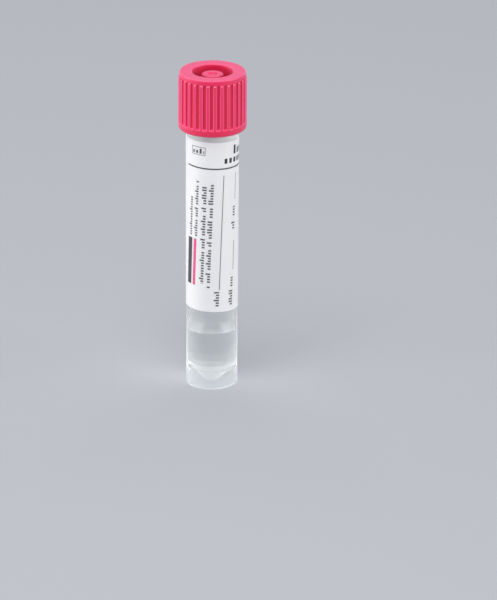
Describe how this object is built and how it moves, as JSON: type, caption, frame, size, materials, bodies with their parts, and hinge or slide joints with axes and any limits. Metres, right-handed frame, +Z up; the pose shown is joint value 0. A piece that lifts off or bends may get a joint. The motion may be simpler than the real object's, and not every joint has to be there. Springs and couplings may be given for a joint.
{
  "type": "specimen swab tube",
  "caption": "Self-standing clear tube for a specimen swab: conical bottom in a standing skirt, ribbed pink screw cap with a swab-gripping socket, white label and liquid medium.",
  "frame": {"origin": "on the axis, in the plane that the skirt stands on", "axes": "+Z up along the tube's axis towards the cap; -Y is the front, where the middle of the label's print faces"},
  "size_m": [0.0164, 0.0162, 0.0785],
  "materials": {
    "clear_plastic": "gloss",
    "pink_plastic": "satin",
    "label_paper": "satin",
    "clear_liquid": "gloss"
  },
  "bodies": {
    "tube_body": {"tube": "clear_plastic", "label": "label_paper", "transport_medium": "clear_liquid"},
    "cap": {"screw_cap": "pink_plastic"}
  },
  "joints": [
    {"name": "cap_lift", "type": "slide", "parent": "tube_body", "child": "cap", "axis": [0, 0, 1], "range_m": [0, 0.03]}
  ]
}
